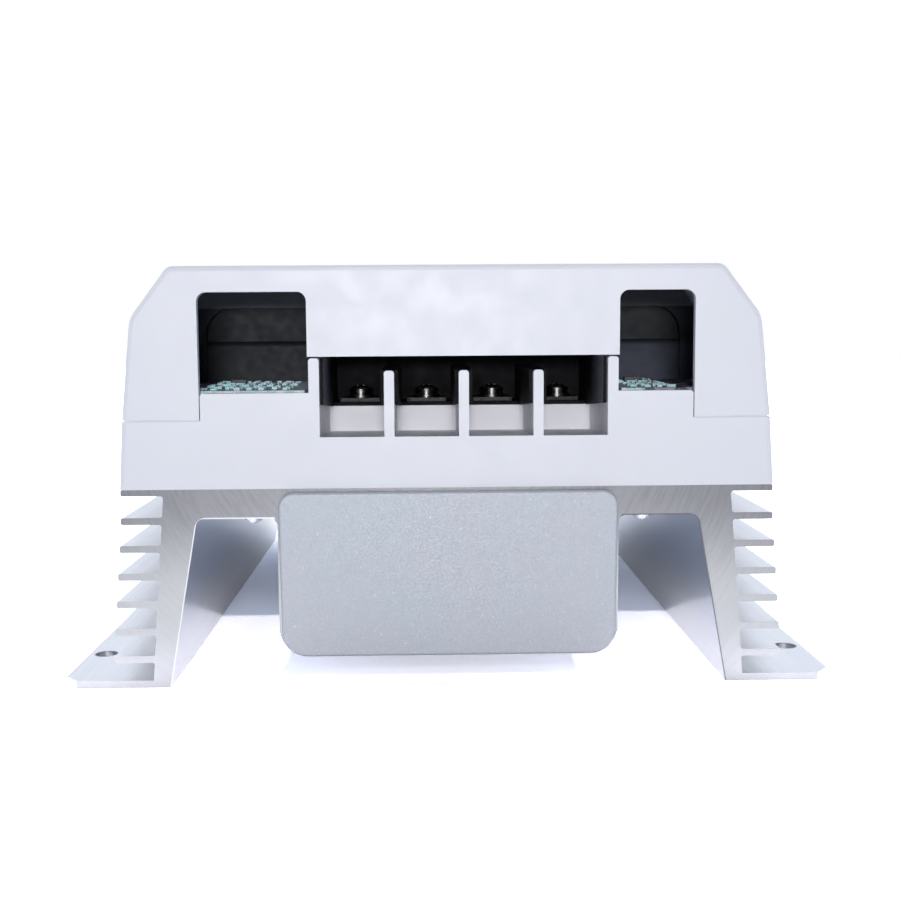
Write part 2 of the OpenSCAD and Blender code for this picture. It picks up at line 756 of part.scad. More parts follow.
module terminal_block() color([0.08, 0.08, 0.09]) difference() {
    union() {
        block([block_x0, front + bay_l + bay_t + lining_gap, seat_z],
              [block_x1, front + block_end, bar_z]);
        block([block_x0, front + block_end - block_back_t, seat_z],
              [block_x1, front + block_end, deck_z + block_h]);
        for (i = [0 : bay_n - 2]) block_divider(divider_x(i));
        for (x = [block_x0, block_x1 - lining_t]) {
            across(x, x + lining_t) lining_section(side_lining_z);
            block([x, front + bay_l + bay_t + lining_gap, seat_z],
                  [x + lining_t, front + block_end, side_lining_z]);
        }
    }
    for (i = [0 : bay_n - 1]) {
        translate([bay_x(i), front + screw_in, seat_z - past]) {
            cylinder(d = screw_d + screw_clear, h = bar_h + 2 * past);
            cylinder(d = across_flats(nut_af + nut_gap), h = pocket_h + past, $fn = 6);
        }
        block([bay_x(i) - tail_w / 2 - slot_gap, front + block_end - block_back_t - past, bar_z],
              [bay_x(i) + tail_w / 2 + slot_gap, front + block_end + past, bar_z + bar_t + slot_gap]);
    }
}

module terminal_bar(i) color("rosybrown") {
    x = bay_x(i);
    difference() {
        block([x - bar_w / 2, front + screw_in - bar_w / 2, bar_z],
              [x + bar_w / 2, front + block_end - block_back_t, bar_z + bar_t]);
        translate([x, front + screw_in, bar_z - past])
            cylinder(d = screw_d + screw_clear, h = bar_t + 2 * past);
    }
    block([x - tail_w / 2, front + block_end - block_back_t - bite, bar_z],
          [x + tail_w / 2, tail_y + bar_t, bar_z + bar_t]);
    block([x - tail_w / 2, tail_y, bar_z], [x + tail_w / 2, tail_y + bar_t, board_top + lead_end]);
}

module at_terminals(z) for (i = [0 : bay_n - 1]) translate([bay_x(i), front + screw_in, z]) children();

module ring(d, hole, h) difference() {
    cylinder(d = d, h = h);
    translate([0, 0, -past]) cylinder(d = hole, h = h + 2 * past);
}

washer_z = bar_z + bar_t;
spring_z = washer_z + washer_t;
screw_head_z = spring_z + spring_t;
pocket_top_z = seat_z + pocket_h;

module terminal_nuts() color("dimgray") at_terminals(pocket_top_z - nut_h) difference() {
    cylinder(d = across_flats(nut_af), h = nut_h, $fn = 6);
    translate([0, 0, -past]) cylinder(d = screw_d, h = nut_h + 2 * past);
}

module flat_washers() color("dimgray") at_terminals(washer_z)
    ring(washer_d, screw_d + screw_clear, washer_t);

split_w = 0.8;
split_turn = 35;

module spring_washers() color("dimgray") at_terminals(spring_z) difference() {
    ring(spring_d, screw_d + screw_clear, spring_t);
    rotate(split_turn) translate([0, -split_w / 2, -past]) cube([spring_d, split_w, spring_t + 2 * past]);
}

// A domed head with a crossed recess, standing on the XY plane
module pan_head(d, h) {
    dome = 0.6 * h;
    r = (d * d / 4 + dome * dome) / (2 * dome);
    cross_l = 0.56 * d;
    cross_w = 0.11 * d;
    difference() {
        rotate_extrude() intersection() {
            square([d / 2, h]);
            translate([0, h - r]) circle(r, $fn = 160);
        }
        for (a = [45, 135]) rotate(a)
            block([-cross_l / 2, -cross_w / 2, h - dome], [cross_l / 2, cross_w / 2, h + past]);
    }
}

// A screw whose head stands on the XY plane, with its shank down to -l
module pan_screw(d, head_d, head_h, l) {
    pan_head(head_d, head_h);
    translate([0, 0, -l]) cylinder(d = d, h = l + bite);
}

module small_screw(l) pan_screw(small_d, small_head_d, small_head_h, l);

module terminal_screws() color("dimgray") at_terminals(screw_head_z)
    pan_screw(screw_d, screw_head_d, screw_head_h, screw_head_z - pocket_top_z + nut_h);

// Dark wall behind the wiring space, with an arched recess

module recess_section(grow) translate([0, board_top])
    arch(arch_w + 2 * grow, deck_z + arch_h - board_top + grow, arch_r + grow);

module inner_wall() color([0.2, 0.2, 0.22]) {
    y = front + inner_wall_in;
    step_z = deck_z + step_h;
    intersection() {
        difference() {
            union() {
                from_to(y, y + inner_wall_t) polygon(housing_outline(wall + rim_gap));
                from_to(y, y + arch_d + inner_wall_t) recess_section(inner_wall_t);
            }
            from_to(y - past, y + arch_d) recess_section(0);
        }
        slab(board_top, top_z);
    }
    translate([0, inner_wall_in + arch_d - step_d, 0]) across(-arch_w / 2, arch_w / 2) {
        translate([0, board_top]) square([step_d + bite, step_z - step_d - board_top]);
        translate([step_d, step_z - step_d]) intersection() {
            circle(step_d);
            translate([-step_d, -bite]) square([step_d + bite, step_d + bite]);
        }
    }
}

// Circuit board and its fixings

board_boss_gap = 0.5;

module board_holes(places, d) for (p = places) translate([p[0], p[1], board_z - past])
    cylinder(d = d, h = board_t + 2 * past);

module circuit_board() color("seagreen") difference() {
    block([-board_w / 2, front + wall + board_gap, board_z],
          [board_w / 2, back - wall - board_gap, board_top]);
    block([bays_l - board_bay_gap, front - past, board_z - past],
          [bays_r + board_bay_gap, front + block_end + lining_t, board_top + past]);
    board_holes(posts_at, small_hole_d);
    board_holes(cover_screws_at, boss_d + 2 * board_boss_gap);
    board_holes([for (y = inductors_y, s = [-1, 1]) [s * lead_gap / 2, y]], lead_d);
    board_holes([for (s = [-1, 1], i = [0 : transistor_n - 1], k = [-1 : 1])
        [s * transistor_leg_x, transistor_y(i) + k * leg_pitch]], leg_hole_d);
    for (i = [0 : bay_n - 1]) block([bay_x(i) - tail_w / 2, tail_y, board_z - past],
        [bay_x(i) + tail_w / 2, tail_y + bar_t, board_top + past]);
}

module board_posts() color("goldenrod") for (p = posts_at) translate([p[0], p[1], deck_z]) {
    difference() {
        cylinder(d = across_flats(post_af), h = post_h, $fn = 6);
        translate([0, 0, post_h - thread_l - hole_clear])
            cylinder(d = small_d, h = thread_l + hole_clear + past);
    }
    translate([0, 0, -thread_l]) cylinder(d = small_d, h = thread_l + bite);
}

module board_screws() color("silver") for (p = posts_at) translate([p[0], p[1], board_top])
    small_screw(board_t + thread_l);

module frame_screws() color("silver") for (p = frame_screws_at) translate([p[0], p[1], roof_z])
    mirror([0, 0, 1]) small_screw(frame_screw_l);

module cover_screws() color("silver") for (p = cover_screws_at) translate([p[0], p[1], roof_z])
    mirror([0, 0, 1]) small_screw(cover_screw_l);

// Power parts

inductor_h = core_h + 2 * winding_t;
inductor_floor_z = chamber_z + chamber_t;
winding_top_z = inductor_floor_z + inductor_h;

module core_section(grow) translate([core_hole_d / 2 - grow, winding_t - grow])
    square([(core_d - core_hole_d) / 2 + 2 * grow, core_h + 2 * grow]);

module inductor_core(y) color("darkslategray") translate([0, y, inductor_floor_z])
    rotate_extrude() core_section(0);

module inductor_winding(y) color("peru") translate([0, y, 0]) {
    translate([0, 0, inductor_floor_z]) rotate_extrude() difference() {
        core_section(winding_t);
        core_section(0);
    }
    for (s = [-1, 1]) {
        z = winding_top_z - lead_d / 2;
        translate([s * lead_gap / 2, 0, z]) {
            cylinder(d = lead_d, h = board_top + lead_end - z);
            rotate([0, s * 90, 0]) cylinder(d = lead_d, h = core_hole_d / 2);
            sphere(d = lead_d);
        }
    }
}

grommet_t = 1.5;
grommet_rim = 2;

module lead_grommets() color("black") for (y = inductors_y) translate([0, y, roof_z]) {
    ring(wire_hole_d, wire_hole_d - 2 * grommet_t, deck_t);
    translate([0, 0, deck_t]) ring(wire_hole_d + 2 * grommet_rim, wire_hole_d - 2 * grommet_t, grommet_t);
}

pad_over = 1;

module thermal_pad(s) color("lightblue") difference() {
    mirror([s < 0 ? 1 : 0, 0, 0])
        block([transistor_x - transistor_l / 2 - pad_over,
               transistor_y(0) - transistor_w / 2 - pad_over, deck_z],
              [transistor_x + transistor_l / 2 + pad_over,
               transistor_y(transistor_n - 1) + transistor_w / 2 + pad_over, deck_z + pad_t]);
    for (p = transistor_holes) translate([p[0], p[1], deck_z - past])
        cylinder(d = small_hole_d, h = pad_t + 2 * past);
}

module thermal_pad_left() thermal_pad(-1);
module thermal_pad_right() thermal_pad(1);

module transistor(s, i) color([0.15, 0.15, 0.16]) mirror([s < 0 ? 1 : 0, 0, 0])
    translate([transistor_x, transistor_y(i), deck_z + pad_t]) {
        difference() {
            block([-transistor_l / 2, -transistor_w / 2, 0],
                  [transistor_l / 2, transistor_w / 2, transistor_t]);
            translate([transistor_hole_x - transistor_x, 0, -past])
                cylinder(d = small_hole_d, h = transistor_t + 2 * past);
        }
        leg_x = transistor_leg_x - transistor_x;
        leg_z = transistor_t / 2;
        for (k = [-1 : 1]) translate([0, k * leg_pitch, 0]) {
            block([leg_x - leg_t / 2, -leg_w / 2, leg_z - leg_t / 2],
                  [-transistor_l / 2 + bite, leg_w / 2, leg_z + leg_t / 2]);
            block([leg_x - leg_t / 2, -leg_w / 2, leg_z - leg_t / 2],
                  [leg_x + leg_t / 2, leg_w / 2, board_top + lead_end - deck_z - pad_t]);
        }
    }

module transistor_screws() color("silver") for (p = transistor_holes)
    translate([p[0], p[1], deck_z + pad_t + transistor_t])
        small_screw(transistor_t + pad_t + thread_l);

groove_z = 2;
groove = 0.8;
can_bevel = 1;

// A can with a rolled groove near its foot and a bevelled top
module capacitor(p) color("midnightblue") translate([p[0], p[1], board_top]) {
    r = capacitor_d / 2;
    rotate_extrude() polygon([
        [0, 0], [r, 0], [r, groove_z], [r - groove, groove_z + groove], [r, groove_z + 2 * groove],
        [r, capacitor_h - can_bevel], [r - can_bevel, capacitor_h], [0, capacitor_h]]);
}

light_body_h = 4;
light_rim = 1;

module indicator_lights() color("honeydew") for (p = lights_at) translate([p[0], p[1], board_top]) {
    cylinder(d = light_d, h = light_body_h - light_d / 2);
    translate([0, 0, light_body_h - light_d / 2]) sphere(d = light_d);
}

module light_pipes() color("azure") for (p = lights_at) translate([p[0], p[1], 0]) {
    translate([0, 0, board_top + light_body_h]) cylinder(d = light_d, h = top_z - board_top - light_body_h);
    translate([0, 0, ceiling_z - light_rim]) cylinder(d = light_d + 2 * light_rim, h = light_rim);
}

heat_sink();
front_chamber_cover();
rear_chamber_cover();
lower_frame();
top_cover();
terminal_block();
for (i = [1 : bay_n]) terminal_bar(i - 1);
terminal_nuts();
flat_washers();
spring_washers();
terminal_screws();
inner_wall();
circuit_board();
board_posts();
board_screws();
for (i = [1 : inductor_n])
    inductor_core(inductors_y[i - 1]);
for (i = [1 : inductor_n])
    inductor_winding(inductors_y[i - 1]);
lead_grommets();
thermal_pad_left();
thermal_pad_right();
for (i = [1 : 2 * transistor_n]) transistor(i <= transistor_n ? -1 : 1, (i - 1) % transistor_n);
transistor_screws();
for (i = [1 : 2 * capacitor_n])
    capacitor(capacitors_at[i - 1]);
indicator_lights();
light_pipes();
frame_screws();
cover_screws();
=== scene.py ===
"""Looks of a solar charge controller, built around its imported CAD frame."""

import json
import math
import random

import bmesh
import bpy
from mathutils import Matrix, Vector


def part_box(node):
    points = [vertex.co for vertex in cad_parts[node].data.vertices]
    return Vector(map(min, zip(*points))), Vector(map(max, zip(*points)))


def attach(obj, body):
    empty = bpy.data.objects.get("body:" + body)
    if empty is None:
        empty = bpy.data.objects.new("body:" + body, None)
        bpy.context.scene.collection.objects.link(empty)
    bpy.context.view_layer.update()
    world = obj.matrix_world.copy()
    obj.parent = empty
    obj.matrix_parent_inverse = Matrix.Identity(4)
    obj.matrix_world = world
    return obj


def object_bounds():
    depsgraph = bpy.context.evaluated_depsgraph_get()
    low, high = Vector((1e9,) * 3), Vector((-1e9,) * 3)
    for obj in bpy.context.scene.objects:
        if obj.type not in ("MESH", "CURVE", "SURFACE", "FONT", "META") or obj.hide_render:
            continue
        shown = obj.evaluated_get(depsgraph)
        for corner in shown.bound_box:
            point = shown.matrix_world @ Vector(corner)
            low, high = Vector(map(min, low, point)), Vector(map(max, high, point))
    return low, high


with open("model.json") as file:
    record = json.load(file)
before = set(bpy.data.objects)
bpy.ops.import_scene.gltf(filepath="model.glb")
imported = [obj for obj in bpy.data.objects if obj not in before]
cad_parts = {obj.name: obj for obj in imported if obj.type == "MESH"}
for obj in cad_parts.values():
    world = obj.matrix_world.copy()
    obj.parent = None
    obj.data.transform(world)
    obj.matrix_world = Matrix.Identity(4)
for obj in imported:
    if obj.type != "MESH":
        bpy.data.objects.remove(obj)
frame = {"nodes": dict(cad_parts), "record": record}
cad_low, cad_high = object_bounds()
nodes = frame["nodes"]
scene = bpy.context.scene

MM = 0.001

BLOCK_LOW, BLOCK_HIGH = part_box("terminal_block")
BOARD_LOW, BOARD_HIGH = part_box("circuit_board")
WALL_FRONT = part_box("inner_wall")[0][1]
CHAMBER_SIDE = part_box("front_chamber_cover")[1][0]


# Camera, fitted to the photograph's edges

CAMERA_AT = (-0.006543, -0.48326, 0.10796)
PITCH, YAW, ROLL = 0.10185, -0.02009, -0.0068
LENS, SENSOR = 48, 36


def make_camera():
    right = Vector((math.cos(YAW), math.sin(YAW), 0))
    ahead = Vector((-math.cos(PITCH) * math.sin(YAW), math.cos(PITCH) * math.cos(YAW), -math.sin(PITCH)))
    up = right.cross(ahead)
    rolled_right = math.cos(ROLL) * right + math.sin(ROLL) * up
    rolled_up = rolled_right.cross(ahead)
    turn = Matrix((rolled_right, rolled_up, -ahead)).transposed().to_4x4()
    data = bpy.data.cameras.new("camera")
    data.lens, data.sensor_width = LENS, SENSOR
    camera = bpy.data.objects.new("camera", data)
    camera.matrix_world = Matrix.Translation(CAMERA_AT) @ turn
    scene.collection.objects.link(camera)
    scene.camera = camera


# Material tools

NOISE_LOW, NOISE_HIGH = 0.3, 0.7
STRAIGHT_FROM, STRAIGHT_FULL = 0.9, 0.98


def shade(color, factor):
    return tuple(v * factor for v in color)


class Graph:
    """A node tree, with one call for each kind of node used here."""

    def __init__(self, name="", tree=None):
        if tree is None:
            self.material = bpy.data.materials.new(name)
            self.material.use_nodes = True
        self.tree = tree or self.material.node_tree
        self.tree.nodes.clear()
        self.place = self.add("ShaderNodeTexCoord").outputs["Object"]
        self.x, self.y, self.z = self.axes(self.place)

    def add(self, kind, **settings):
        node = self.tree.nodes.new(kind)
        for name, value in settings.items():
            setattr(node, name, value)
        return node

    def put(self, value, socket):
        """Link a socket to another, or set its own value."""
        if isinstance(value, bpy.types.NodeSocket):
            self.tree.links.new(value, socket)
        elif isinstance(value, tuple) and len(value) == 3 and socket.type == "RGBA":
            socket.default_value = (*value, 1)
        else:
            socket.default_value = value

    def math(self, operation, a, b=0.0, c=0.0):
        node = self.add("ShaderNodeMath", operation=operation)
        for value, socket in zip((a, b, c), node.inputs):
            self.put(value, socket)
        return node.outputs[0]

    def size_of(self, value):
        return self.math("ABSOLUTE", value)

    def plus(self, a, b):
        return self.math("ADD", a, b)

    def minus(self, a, b):
        return self.math("SUBTRACT", a, b)

    def times(self, a, b):
        return self.math("MULTIPLY", a, b)

    def larger(self, a, b):
        return self.math("MAXIMUM", a, b)

    def past(self, value, limit):
        """How far value is past limit, or 0 where it isn't."""
        return self.larger(self.minus(value, limit), 0.0)

    def length(self, a, b):
        return self.math("SQRT", self.plus(self.times(a, a), self.times(b, b)))

    def stretched(self, x, y, z):
        node = self.add("ShaderNodeMapping")
        self.put(self.place, node.inputs["Vector"])
        self.put((x, y, z), node.inputs["Scale"])
        return node.outputs[0]

    def noise(self, size, detail=2.0, roughness=0.5, source=None):
        """Noise whose lumps are about size metres across."""
        node = self.add("ShaderNodeTexNoise")
        self.put(source or self.place, node.inputs["Vector"])
        self.put(1 / size, node.inputs["Scale"])
        self.put(detail, node.inputs["Detail"])
        self.put(roughness, node.inputs["Roughness"])
        return node.outputs["Fac"]

    def cells(self, size, feature="F1", source=None, output="Distance"):
        node = self.add("ShaderNodeTexVoronoi", feature=feature)
        self.put(source or self.place, node.inputs["Vector"])
        self.put(1 / size, node.inputs["Scale"])
        return node.outputs[output]

    def spread(self, value, low, high, to_low=0.0, to_high=1.0):
        """Smoothly from to_low, where value is low or less, to to_high."""
        node = self.add("ShaderNodeMapRange", interpolation_type="SMOOTHSTEP")
        for v, name in ((value, "Value"), (low, "From Min"), (high, "From Max"),
                        (to_low, "To Min"), (to_high, "To Max")):
            self.put(v, node.inputs[name])
        return node.outputs[0]

    def fade(self, value, low, high, top=1.0):
        """Smoothly from top, where value is low or less, down to 0."""
        return self.spread(value, low, high, top, 0.0)

    def uneven(self, noise, low=0.0, high=1.0):
        """Noise brought to the range from low to high."""
        return self.spread(noise, NOISE_LOW, NOISE_HIGH, low, high)

    def mix(self, share, a, b):
        node = self.add("ShaderNodeMix", data_type="RGBA")
        self.put(share, node.inputs["Factor"])
        self.put(a, node.inputs["A"])
        self.put(b, node.inputs["B"])
        return node.outputs["Result"]

    def mix_number(self, share, a, b):
        node = self.add("ShaderNodeMix", data_type="FLOAT")
        for value, socket in zip((share, a, b), (node.inputs[0], node.inputs[2], node.inputs[3])):
            self.put(value, socket)
        return node.outputs[0]

    def axes(self, source):
        node = self.add("ShaderNodeSeparateXYZ")
        self.put(source, node.inputs[0])
        return node.outputs

    def end_on(self):
        """1 on faces that look straight along Y, and 0 on all others."""
        normal = self.add("ShaderNodeTexCoord").outputs["Normal"]
        return self.spread(self.size_of(self.axes(normal)[1]), STRAIGHT_FROM, STRAIGHT_FULL)

    def bump(self, height, depth, strength=1.0, under=None):
        node = self.add("ShaderNodeBump")
        self.put(height, node.inputs["Height"])
        self.put(depth, node.inputs["Distance"])
        self.put(strength, node.inputs["Strength"])
        if under is not None:
            self.put(under, node.inputs["Normal"])
        return node.outputs[0]

    def surface(self, color, roughness, metallic=0.0, normal=None, **sockets):
        shader = self.add("ShaderNodeBsdfPrincipled")
        self.put(color, shader.inputs["Base Color"])
        self.put(roughness, shader.inputs["Roughness"])
        self.put(metallic, shader.inputs["Metallic"])
        if normal is not None:
            self.put(normal, shader.inputs["Normal"])
        for name, value in sockets.items():
            self.put(value, shader.inputs[name.replace("_", " ")])
        self.show(shader, "ShaderNodeOutputMaterial")
        return self.material

    def show(self, shader, output_kind):
        """Make shader what the tree gives."""
        self.put(shader.outputs[0], self.add(output_kind).inputs["Surface"])

    def looked_at(self, path):
        """1 for what the camera sees, directly or through glass."""
        return self.larger(path.outputs["Is Camera Ray"], path.outputs["Is Transmission Ray"])


# Light mouldings

GRAIN, GRAIN_DEPTH = 0.45 * MM, 0.02 * MM
PATCH, GLOSS_PATCH = 45 * MM, 8 * MM
SMOOTHER, DULLER = 0.05, 0.06
SCUFF, SCUFF_SCALE, SCUFFED, SCUFF_SHARE = 3 * MM, (1, 1, 0.35), (0.66, 0.8), 0.35
BAY_MARGIN, BAY_FADE = 0.5 * MM, 1 * MM
BAY_FROM, BAY_FULL = 3 * MM, 7 * MM


def in_the_bays(g):
    """1 in the wiring bays, round the terminal block and behind the housing's front, and 0 elsewhere."""
    left, right = BLOCK_LOW[0] - BAY_MARGIN, BLOCK_HIGH[0] + BAY_MARGIN
    across = g.times(g.spread(g.x, left - BAY_FADE, left), g.fade(g.x, right, right + BAY_FADE))
    below = g.fade(g.z, BLOCK_HIGH[2], BLOCK_HIGH[2] + BAY_FADE)
    along = g.times(g.spread(g.y, cad_low.y + BAY_FROM, cad_low.y + BAY_FULL),
                    g.fade(g.y, BLOCK_HIGH[1], BLOCK_HIGH[1] + BAY_FADE))
    return g.times(g.times(across, below), along)


def moulded(name, color, roughness, soil=0.04, painted_bay_light=None):
    """Moulded plastic with a fine spark-eroded grain and a little uneven tone, and painted light in the bays.
    """
    g = Graph(name)
    scuffs = g.spread(g.noise(SCUFF, 5, 0.7, g.stretched(*SCUFF_SCALE)), *SCUFFED)
    tone = g.mix(g.uneven(g.noise(PATCH, 3)), color, shade(color, 1 - soil))
    tone = g.mix(g.times(scuffs, SCUFF_SHARE), tone, shade(color, 1 - 3 * soil))
    # Painted light: the bays get a lighter, bluer colour, where little light reaches into them.
    if painted_bay_light:
        tone = g.mix(in_the_bays(g), tone, painted_bay_light)
    rough = g.uneven(g.noise(GLOSS_PATCH, 4), roughness - SMOOTHER, roughness + DULLER)
    return g.surface(tone, rough, normal=g.bump(g.noise(GRAIN, 2, 0.6), GRAIN_DEPTH))


# Dark mouldings

DARK_PATCH, DARK_PATCH_SHADE, DARK_GLOSS_PATCH = 14 * MM, 1.5, 3 * MM
DARK_GRAIN, DARK_GRAIN_DEPTH = 0.35 * MM, 0.01 * MM
DARK_SMOOTHER, DARK_DULLER = 0.06, 0.08


def dark_surface(g, tone, smooth, dull, depth=DARK_GRAIN_DEPTH, **sockets):
    """The fine grain and the uneven gloss that all dark mouldings share."""
    return g.surface(tone, g.uneven(g.noise(DARK_GLOSS_PATCH, 4), smooth, dull),
                     normal=g.bump(g.noise(DARK_GRAIN, 2, 0.6), depth), **sockets)


def dark_tone(g, color):
    return g.mix(g.noise(DARK_PATCH, 3), color, shade(color, DARK_PATCH_SHADE))


def dark_moulded(name, color, roughness, depth=DARK_GRAIN_DEPTH):
    g = Graph(name)
    return dark_surface(g, dark_tone(g, color), roughness - DARK_SMOOTHER, roughness + DARK_DULLER, depth)


OUTER_FROM, OUTER_FULL, MOUTH_DEPTH = 2.5 * MM, 1.2 * MM, 32 * MM
LINING_SMOOTH, LINING_DULL, LINING_SHINE = 0.54, 0.68, 0.1


def lined_black(name, color, painted_mouth_light):
    """Black moulding with painted light: greyer on the outer walls at the mouth of the bays."""
    g = Graph(name)
    middle, half = (BLOCK_LOW[0] + BLOCK_HIGH[0]) / 2, (BLOCK_HIGH[0] - BLOCK_LOW[0]) / 2
    outer = g.spread(g.size_of(g.minus(g.x, middle)), half - OUTER_FROM, half - OUTER_FULL)
    mouth = g.fade(g.y, BLOCK_LOW[1], BLOCK_LOW[1] + MOUTH_DEPTH)
    # Painted light: the outer walls are greyer at the bays' mouth, where light falls on them.
    tone = g.mix(g.times(outer, mouth), dark_tone(g, color), painted_mouth_light)
    # Faces that look along Y keep the plain black colour, without patches or painted light.
    tone = g.mix(g.end_on(), tone, color)
    return dark_surface(g, tone, LINING_SMOOTH, LINING_DULL, Specular_IOR_Level=LINING_SHINE)


LIGHT_PATCH_TOP, LIGHT_PATCH_SOFT, LIGHT_PATCH_FULL_X = 102 * MM, 3 * MM, 40 * MM
STRIP_LOW, STRIP_SOFT, STRIP_COLOR = 114.4 * MM, 1 * MM, (0.12, 0.13, 0.155)
CLOUD_COLOR, CLOUD_SHARE = (0.025, 0.025, 0.03), 0.3
WALL_SMOOTH, WALL_DULL, WALL_SHINE = 0.5, 0.62, 0.3


def inner_sheet(name, color, painted_light_color):
    """Smooth black moulding with painted light, lighter and bluish, low on its right part, and a paler strip
    along its top.
    """
    g = Graph(name)
    # Painted light: a lighter bluish patch low on the right, where light falls through the window.
    painted_light_patch = g.times(g.fade(g.z, LIGHT_PATCH_TOP - LIGHT_PATCH_SOFT, LIGHT_PATCH_TOP + LIGHT_PATCH_SOFT), g.spread(g.x, 0.0, LIGHT_PATCH_FULL_X))
    tone = g.mix(painted_light_patch, color, painted_light_color)
    tone = g.mix(g.spread(g.z, STRIP_LOW, STRIP_LOW + STRIP_SOFT), tone, STRIP_COLOR)
    tone = g.mix(g.times(g.noise(DARK_PATCH, 3), CLOUD_SHARE), tone, CLOUD_COLOR)
    return dark_surface(g, tone, WALL_SMOOTH, WALL_DULL, Specular_IOR_Level=WALL_SHINE)


# Metals

CLOUD, CLOUDED, COOLER, WARMER = 22 * MM, (0.35, 0.65), (0.97, 1.01, 1.01), (1.01, 0.98, 1.0)
PIT, PITTED, PIT_SHARE, PIT_SHADE = 0.5 * MM, (0.3, 0.72), 0.3, 1.35
SPECK, SPECKED, SPECK_SHARE, SPECK_COLOR = 0.9 * MM, (0.7, 0.78), 0.3, (0.9, 0.9, 0.93)
BLAST_PATCH, BLAST_SMOOTH, BLAST_DULL, BLAST_METAL = 0.6 * MM, 0.5, 0.7, 0.35
BLAST_GRAIN, BLAST_DEPTH = 0.4 * MM, 0.03 * MM


def blasted_metal(name, color):
    """Bead-blasted aluminium, with fine bright pits and specks and cloudy patches."""
    g = Graph(name)
    cool = tuple(v * f for v, f in zip(color, COOLER))
    warm = tuple(v * f for v, f in zip(color, WARMER))
    tone = g.mix(g.spread(g.noise(CLOUD, 3, 0.6), *CLOUDED), cool, warm)
    pits = g.spread(g.noise(PIT, 2, 0.7), *PITTED)
    tone = g.mix(g.times(pits, PIT_SHARE), tone, shade(color, PIT_SHADE))
    specks = g.spread(g.noise(SPECK, 1), *SPECKED)
    tone = g.mix(g.times(specks, SPECK_SHARE), tone, SPECK_COLOR)
    rough = g.uneven(g.noise(BLAST_PATCH, 2), BLAST_SMOOTH, BLAST_DULL)
    return g.surface(tone, rough, BLAST_METAL, g.bump(g.noise(BLAST_GRAIN, 3, 0.7), BLAST_DEPTH))


STAIN, STAINED, STAIN_SHARE, STAIN_SHADE, STAIN_DULLER = 1.6 * MM, (0.45, 0.7), 0.6, 0.55, 0.15
TURNING, TURNING_SCALE, TURNING_DEPTH = 0.25 * MM, (0.2, 0.2, 1), 0.005 * MM


def plated(name, color, roughness):
    """Plated metal with turning marks and small stains."""
    g = Graph(name)
    stain = g.spread(g.noise(STAIN, 4, 0.6), *STAINED)
    tone = g.mix(g.times(stain, STAIN_SHARE), color, shade(color, STAIN_SHADE))
    rough = g.spread(stain, 0.0, 1.0, roughness, roughness + STAIN_DULLER)
    turned = g.noise(TURNING, 2, 0.5, g.stretched(*TURNING_SCALE))
    return g.surface(tone, rough, 1.0, g.bump(turned, TURNING_DEPTH))


TURN, TURN_SCALE, TURN_DEPTH = 1.2 * MM, (1, 1, 0.1), 0.2 * MM
ENAMEL_PATCH, ENAMEL_SHADE, ENAMEL_ROUGH, ENAMEL_METAL = 5 * MM, 0.6, 0.28, 0.8


def wire_wound(name, color):
    """Enamelled wire wound through a ring core, the turns running up and down its sides."""
    g = Graph(name)
    tone = g.mix(g.noise(ENAMEL_PATCH, 3), color, shade(color, ENAMEL_SHADE))
    turns = g.noise(TURN, 1, 0.5, g.stretched(*TURN_SCALE))
    return g.surface(tone, ENAMEL_ROUGH, ENAMEL_METAL, g.bump(turns, TURN_DEPTH))


# Extruded aluminium. Its places are those of the CAD heat sink.

SAW_CENTRE, SAW_ARC, SAW_MARK, SAW_DEPTH = (-12 * MM, 90 * MM), 6 * MM, 1.1 * MM, 0.015 * MM
GROOVED, GROOVE_SHARE = (0.56, 0.72), 0.28
LINE, LINE_SCALE, LINE_DEPTH, LINE_SHARE, LINE_SHADE = 0.7 * MM, (1, 0.01, 1), 0.01 * MM, 0.2, 0.7
LEG_MIDDLE, LEG_LEAN, LEG_SOFT = 86.9 * MM, 0.14, 1.5 * MM
SHADE_LOW, SHADE_HIGH = 8 * MM, 34 * MM
SHADE_NEAR_Y, SHADE_FAR_Y = 10 * MM, 110 * MM
TUNNEL_SHADE, TUNNEL_SHADE_FAR = (0.72, 0.79, 0.92), (0.36, 0.42, 0.54)
HOLE_X, HOLE_Y, HOLE_R = 111.8 * MM, 96.5 * MM, 3.4 * MM
RIM_FULL, RIM_GONE, RIM_SHARE, HOLE_SHADE_COLOR = 0.25 * MM, 0.5 * MM, 0.85, (0.12, 0.125, 0.15)
FOOT_TOP, FOOT_GONE = 26 * MM, 60 * MM
CUT_BRIGHT, FOOT_BRIGHT, CUT_GROOVE, FOOT_GROOVE = 1.3, 1.1, 0.8, 0.7
TUNNEL_FOOT, TUNNEL_LEAN, TUNNEL_ROOF = 84.2 * MM, 0.1766, 51.5 * MM
TUNNEL_R = 2.4 * MM
PAINTED_EDGE_FULL, PAINTED_EDGE_GONE, PAINTED_EDGE_SHARE, PAINTED_EDGE_CLEAR = 0.245 * MM, 0.455 * MM, 0.8, 1 * MM
EDGE_HIGHLIGHT_LEFT, EDGE_SHADE_RIGHT, PAINTED_EDGE_CHANGE = (0.9, 0.91, 0.93), (0.07, 0.07, 0.09), 1 * MM
SIDE_ROUGH, END_ROUGH = 0.36, 0.38
TUNNEL_METAL, SIDE_METAL, END_METAL, PAINTED_EDGE_METAL = 0.4, 0.5, 0.85, 0.3
COAT, COAT_ROUGH = 0.5, 0.15


